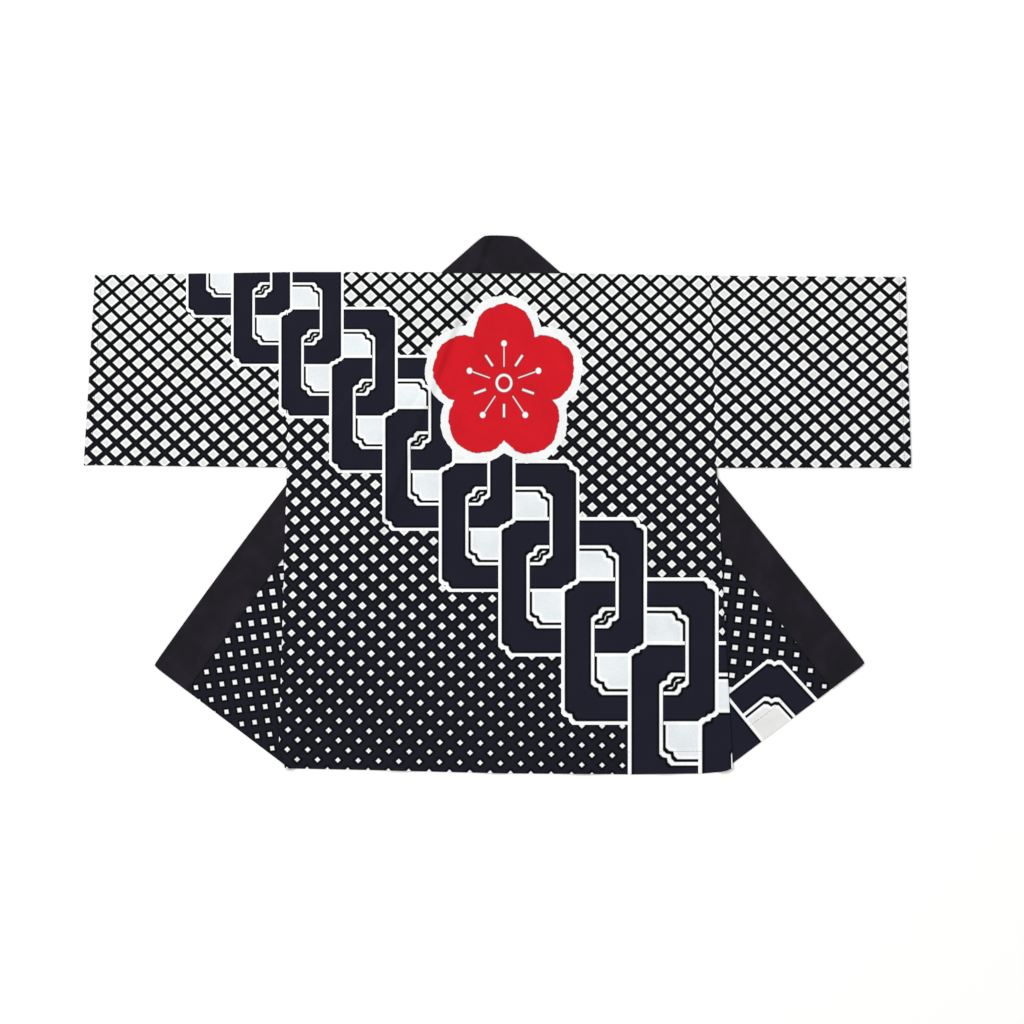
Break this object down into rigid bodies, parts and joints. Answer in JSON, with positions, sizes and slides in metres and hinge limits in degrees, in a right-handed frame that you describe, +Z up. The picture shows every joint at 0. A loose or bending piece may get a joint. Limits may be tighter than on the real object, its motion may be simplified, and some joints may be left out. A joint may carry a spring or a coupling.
{
  "type": "happi coat",
  "caption": "Short, straight, open-fronted cotton coat with square sleeves and a band collar, laid flat with its back up.",
  "frame": {"origin": "centre of the coat's box at the surface it lies on", "axes": "+X along the sleeves, +Y from the hem to the collar, +Z up from the surface"},
  "size_m": [1.2456, 0.8138, 0.0066],
  "materials": {
    "printed_cotton": "plain-woven cotton printed in navy on white",
    "collar_cotton": "plain-dyed navy cotton band"
  },
  "bodies": {
    "root": {"back": "printed_cotton", "front_left": "printed_cotton", "front_right": "printed_cotton", "sleeve_left": "printed_cotton", "sleeve_right": "printed_cotton", "collar_neck": "collar_cotton", "collar_left": "collar_cotton", "collar_right": "collar_cotton"}
  },
  "joints": []
}
